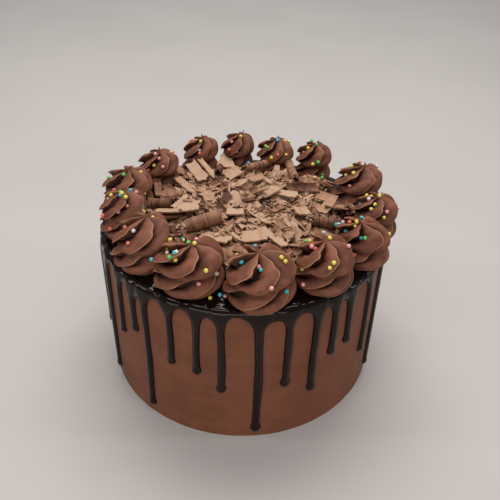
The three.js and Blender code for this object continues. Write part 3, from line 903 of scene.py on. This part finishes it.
def under_noted(noted, x, y, room):
    """Whether a place is under one of the noted shavings or within room of it."""
    for start, end, row in noted:
        run = (end - start)[:2]
        share = np.clip(np.dot([x - start[0], y - start[1]], run) / np.dot(run, run), 0, 1)
        half = row[4] * 0.4 if row[5] < 5 else row[4] / row[5]
        if np.hypot(x - start[0] - share * run[0], y - start[1] - share * run[1]) < half + room:
            return True
    return False


def scatter(heap, draw, noted, count, longs, wides, thick, curls, lifts, tilt, steps, margin):
    for _ in range(count):
        x, y, z, share = heap_spot(draw, 0.52, margin)
        long, wide = between(draw, *longs), between(draw, *wides)
        if under_noted(noted, x, y, 0.25 * long):
            z, long, wide = z - max(lifts[1] - 0.8, 0), long * 0.7, wide * 0.8
        axes = lying_axes(between(draw, 0, 2 * math.pi), between(draw, -tilt, tilt), between(draw, -tilt, tilt))
        curl = between(draw, *curls) * (1 if next(draw) > 0.4 else 0.3)
        if next(draw) > 0.5:
            axes = axes * np.array([[1], [-1], [-1]])
        sheet = heap.sheet(draw, long, wide, thick * between(draw, 0.7, 1.3), curl, between(draw, -0.3, 0.5), steps, 0.5)
        pick = next(draw) - 0.12 * (1 - share)
        tone = between(draw, *(DARK_TONES if pick < 0.1 else MIDDLE_TONES if pick < 0.27 else PALE_TONES))
        # Painted shade: some pieces near the heap's edge, against the swirls, are darkened
        if share > 0.86 and next(draw) > 0.45:
            tone *= 0.45
        heap.lay(sheet, (x, y, GANACHE_TOP + z - 0.6 + between(draw, *lifts)), axes, tone)


def on_heap(pixel, lift):
    """Place in the pixel's line of sight that is lift above the heap's core."""
    eye, sight = Vector(EYE), sight_line(pixel)
    height = GANACHE_TOP + HEAP_TOP
    for _ in range(12):
        spot = eye + sight * ((height - eye.z) / sight.z)
        height = GANACHE_TOP + lift + float(heap_height(np.array([spot.x]), np.array([spot.y]))[0])
    return np.array(spot)


def make_shavings():
    """Flakes and rolls, chips, and crumbs, seeded all over the heap, with the ones that stand out."""
    draw = draws(515)
    noted = noted_places()
    large = Heap()
    scatter(large, draw, noted, FLAKES, (6.5, 17), (3.5, 9.5), 0.8, (0.3, 1.5), (-0.2, 3.0), 0.48, (5, 4), 3.2)
    scatter(large, draw, noted, ROLLS, (9, 20), (9, 15), 0.6, (6.2, 8.5), (1.2, 3.0), 0.16, (14, 26), 8)
    for start, end, (*_, wide, curl, roll, tone, widen) in noted:
        along = end - start
        long = float(np.linalg.norm(along))
        axes = lying_axes(math.atan2(along[1], along[0]), math.asin(along[2] / long), math.radians(roll))
        sheet = large.sheet(draw, long, wide, 0.9, curl, 0.3, (20, 26) if curl > 5 else (8, 5), 0.16, widen)
        large.lay(sheet, (start + end) / 2, axes, tone)
    chips = Heap()
    scatter(chips, draw, noted, CHIPS, (2.5, 8), (0.9, 3), 0.55, (0.2, 1.2), (0.4, 3.0), 0.7, (3, 2), 0.8)
    crumbs = Heap()
    scatter(crumbs, draw, noted, CRUMBS, (0.9, 2.2), (0.7, 1.7), 0.7, (0.1, 0.4), (0.6, 2.6), 0.9, (1, 1), 0.5)
    return large.piece("shavings_flakes"), chips.piece("shavings_chips"), crumbs.piece("shavings_crumbs", False)


# Studio

def area_light(name, place, aim, size, power, tint=(1, 1, 1)):
    lamp = bpy.data.lights.new(name, "AREA")
    lamp.shape = "RECTANGLE"
    lamp.size, lamp.size_y = size
    lamp.energy = power
    lamp.color = tint
    light = bpy.data.objects.new(name, lamp)
    light.location = place
    light.rotation_euler = (Vector(aim) - Vector(place)).to_track_quat("-Z", "Y").to_euler()
    bpy.context.scene.collection.objects.link(light)


def make_studio():
    bpy.ops.mesh.primitive_plane_add(size=8)
    floor = bpy.context.active_object
    floor.name = "floor"
    floor.data.materials.append(floor_finish())
    world = bpy.data.worlds.new("soft_daylight")
    world.use_nodes = True
    background = world.node_tree.nodes["Background"]
    background.inputs["Color"].default_value = (1.0, 0.98, 0.97, 1)
    background.inputs["Strength"].default_value = 0.24
    bpy.context.scene.world = world
    area_light("overhead", (0, 0.35, 1.2), (0, 0.1, 0.05), (1.0, 0.42), 11)
    area_light("front_fill", (-0.1, -0.62, 0.13), (0, -0.05, 0.06), (0.8, 0.2), 1.3)
    area_light("left_strip", (-0.9, -0.1, 0.5), (0, 0, 0.08), (0.1, 0.7), 1.3)
    area_light("right_strip", (0.9, -0.1, 0.5), (0, 0, 0.08), (0.1, 0.7), 1.3)
    area_light("front_key", (0, -0.35, 0.85), (0, -0.09, 0.1), (0.9, 0.12), 2.4)
    area_light("back_wash", (0, 1.4, 1.8), (0, 1.9, 0), (1.8, 0.6), 18)
    lens = bpy.data.cameras.new("camera")
    lens.sensor_fit = "HORIZONTAL"
    lens.sensor_width = SENSOR_WIDTH
    lens.lens = FOCAL_PIXELS / IMAGE_SIZE * SENSOR_WIDTH
    lens.clip_end = 20
    camera = bpy.data.objects.new("camera", lens)
    rows = [[RIGHTWARD[k], UPWARD[k], -SIGHT[k], EYE[k] * MM] for k in range(3)] + [[0, 0, 0, 1]]
    camera.matrix_world = Matrix(rows)
    bpy.context.scene.collection.objects.link(camera)
    bpy.context.scene.camera = camera
    bpy.context.scene.view_settings.view_transform = "Standard"


make_studio()
coat = make_coat()
hand_over(coat, coat_finish(), "buttercream_coat", "cake_coat")
ganache = make_ganache()
hand_over(ganache, ganache_finish(), "ganache", "ganache")

outline_rows, lobe_section = swirl_tables()
piped = swirl_finish()
swirls = []
for number, swirl in enumerate(SWIRLS, 1):
    node = f"swirl_{number:02d}"
    piece = make_swirl("piped_" + node, swirl, number, outline_rows, lobe_section)
    hand_over(piece, piped, "buttercream_swirl", node)
    swirls.append(piece)

core = make_core()
hand_over(core, core_finish(), "chocolate_shavings", "shavings")
shaved = shaving_finish()
loose = make_shavings()
for piece in loose:
    hand_over(piece, shaved, "chocolate_shavings")

for colour, piece in make_balls(search_tree([ganache, core, *swirls, *loose])).items():
    hand_over(piece, ball_finish(colour), "sugar_" + colour)
